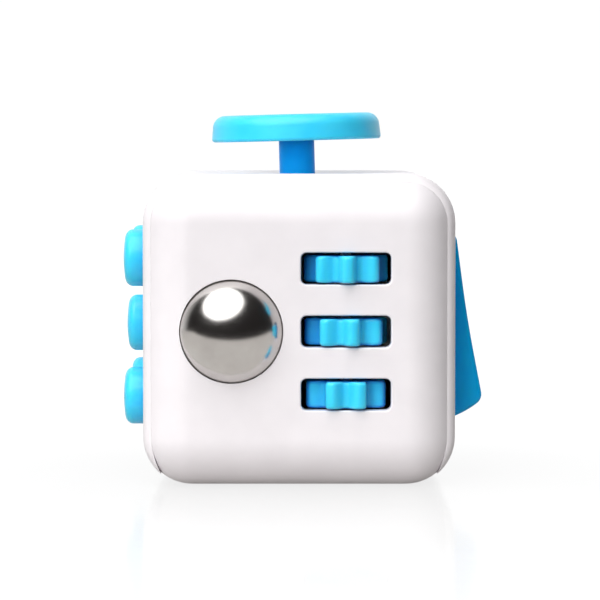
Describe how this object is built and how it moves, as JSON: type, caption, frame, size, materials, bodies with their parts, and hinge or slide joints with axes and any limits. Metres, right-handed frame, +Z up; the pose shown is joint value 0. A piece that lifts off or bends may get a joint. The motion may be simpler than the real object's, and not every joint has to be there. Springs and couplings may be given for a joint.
{
  "type": "fidget cube",
  "caption": "Pocket fidget cube with a joystick, round buttons, a rocker switch, toothed rollers, a sprung ball and a spin dial, one toy on each face of a rounded case.",
  "frame": {"origin": "centre of the case's square base, on the plane it stands on", "axes": "+Z up through the joystick face; +X towards the rocker face and -X towards the button face; -Y towards the face with the ball and rollers and +Y towards the dial face"},
  "size_m": [0.0386, 0.0386, 0.0396],
  "materials": {
    "white_plastic": "satin moulded ABS, white",
    "blue_plastic": "satin moulded ABS, cyan blue",
    "stem_blue_plastic": "satin moulded plastic, blue",
    "polished_steel": "polished steel ball",
    "plated_steel": "plated steel screws, springs and pins",
    "silicone_rubber": "soft silicone rubber",
    "inner_plastic": "plain moulded inner plastic"
  },
  "bodies": {
    "case": {"ball_sleeve": "inner_plastic", "ball_sleeve_screw_lower": "plated_steel", "ball_sleeve_screw_upper": "plated_steel", "ball_spring": "plated_steel", "bracket_screw_lower": "plated_steel", "bracket_screw_upper": "plated_steel", "button_plate": "inner_plastic", "cage_screw_left": "plated_steel", "cage_screw_right": "plated_steel", "case_screw_left": "plated_steel", "case_screw_right": "plated_steel", "click_dome_centre": "plated_steel", "click_dome_front_bottom": "plated_steel", "click_dome_front_top": "plated_steel", "dial_screw": "plated_steel", "dial_washer": "plated_steel", "front_shell": "white_plastic", "housing_screw_back": "plated_steel", "housing_screw_front": "plated_steel", "joystick_cage": "inner_plastic", "joystick_spring": "plated_steel", "plate_screw_lower": "plated_steel", "plate_screw_upper": "plated_steel", "quiet_pad_back_bottom": "silicone_rubber", "quiet_pad_back_top": "silicone_rubber", "rocker_housing": "inner_plastic", "rocker_leaf_spring": "plated_steel", "rocker_pin": "plated_steel", "roller_axle": "plated_steel", "roller_bracket": "inner_plastic", "roller_spacer_lower": "inner_plastic", "roller_spacer_upper": "inner_plastic", "side_shell": "white_plastic"},
    "top_roller": {"roller_top": "blue_plastic"},
    "middle_roller": {"roller_middle": "blue_plastic"},
    "bottom_roller": {"roller_bottom": "blue_plastic"},
    "ball_carrier": {"ball_cup": "inner_plastic"},
    "ball": {"roller_ball": "polished_steel"},
    "button_front_top_cap": {"button_front_top": "blue_plastic"},
    "button_front_bottom_cap": {"button_front_bottom": "blue_plastic"},
    "button_centre_cap": {"button_centre": "blue_plastic"},
    "button_back_top_cap": {"button_back_top": "blue_plastic"},
    "button_back_bottom_cap": {"button_back_bottom": "blue_plastic"},
    "gimbal": {"gimbal_ring": "inner_plastic"},
    "joystick": {"joystick_stem": "stem_blue_plastic", "joystick_disc": "blue_plastic"},
    "rocker_switch": {"rocker": "blue_plastic"},
    "dial": {"spin_dial": "blue_plastic", "dial_cap": "blue_plastic"}
  },
  "joints": [
    {"name": "top_roller_spin", "type": "hinge", "parent": "case", "child": "top_roller", "pos_m": [0.00493, -0.0131, 0.0231], "axis": [0, 0, 1], "continuous": true},
    {"name": "middle_roller_spin", "type": "hinge", "parent": "case", "child": "middle_roller", "pos_m": [0.00493, -0.0131, 0.0165], "axis": [0, 0, 1], "continuous": true},
    {"name": "bottom_roller_spin", "type": "hinge", "parent": "case", "child": "bottom_roller", "pos_m": [0.00493, -0.0131, 0.0099], "axis": [0, 0, 1], "continuous": true},
    {"name": "ball_push", "type": "slide", "parent": "case", "child": "ball_carrier", "axis": [0, 1, 0], "range_m": [0, 0.0009], "stiffness_N_per_m": 1500, "springref_m": -0.0004, "deforming": ["ball_spring"]},
    {"name": "ball_roll", "type": "hinge", "parent": "ball_carrier", "child": "ball", "pos_m": [-0.0071, -0.0137, 0.0165], "axis": [1, 0, 0], "continuous": true},
    {"name": "button_front_top_press", "type": "slide", "parent": "case", "child": "button_front_top_cap", "axis": [1, 0, 0], "range_m": [0, 0.0008], "stiffness_N_per_m": 1200, "springref_m": -0.0004, "deforming": ["click_dome_front_top"]},
    {"name": "button_front_bottom_press", "type": "slide", "parent": "case", "child": "button_front_bottom_cap", "axis": [1, 0, 0], "range_m": [0, 0.0008], "stiffness_N_per_m": 1200, "springref_m": -0.0004, "deforming": ["click_dome_front_bottom"]},
    {"name": "button_centre_press", "type": "slide", "parent": "case", "child": "button_centre_cap", "axis": [1, 0, 0], "range_m": [0, 0.0008], "stiffness_N_per_m": 1200, "springref_m": -0.0004, "deforming": ["click_dome_centre"]},
    {"name": "button_back_top_press", "type": "slide", "parent": "case", "child": "button_back_top_cap", "axis": [1, 0, 0], "range_m": [0, 0.0008], "stiffness_N_per_m": 1200, "springref_m": -0.0004, "deforming": ["quiet_pad_back_top"]},
    {"name": "button_back_bottom_press", "type": "slide", "parent": "case", "child": "button_back_bottom_cap", "axis": [1, 0, 0], "range_m": [0, 0.0008], "stiffness_N_per_m": 1200, "springref_m": -0.0004, "deforming": ["quiet_pad_back_bottom"]},
    {"name": "joystick_front_back", "type": "hinge", "parent": "case", "child": "gimbal", "pos_m": [0, 0, 0.0256], "axis": [1, 0, 0], "range_deg": [-8.5, 8.5], "stiffness_Nm_per_rad": 0.03, "deforming": ["joystick_spring"]},
    {"name": "joystick_left_right", "type": "hinge", "parent": "gimbal", "child": "joystick", "pos_m": [0, 0, 0.0256], "axis": [0, 1, 0], "range_deg": [-7, 10], "stiffness_Nm_per_rad": 0.03, "deforming": ["joystick_spring"]},
    {"name": "rocker_flip", "type": "hinge", "parent": "case", "child": "rocker_switch", "pos_m": [0.0128, 0, 0.0165], "axis": [0, 1, 0], "range_deg": [0, 18.4], "deforming": ["rocker_leaf_spring"]},
    {"name": "dial_spin", "type": "hinge", "parent": "case", "child": "dial", "pos_m": [0, 0.0174, 0.0165], "axis": [0, 1, 0], "continuous": true}
  ]
}
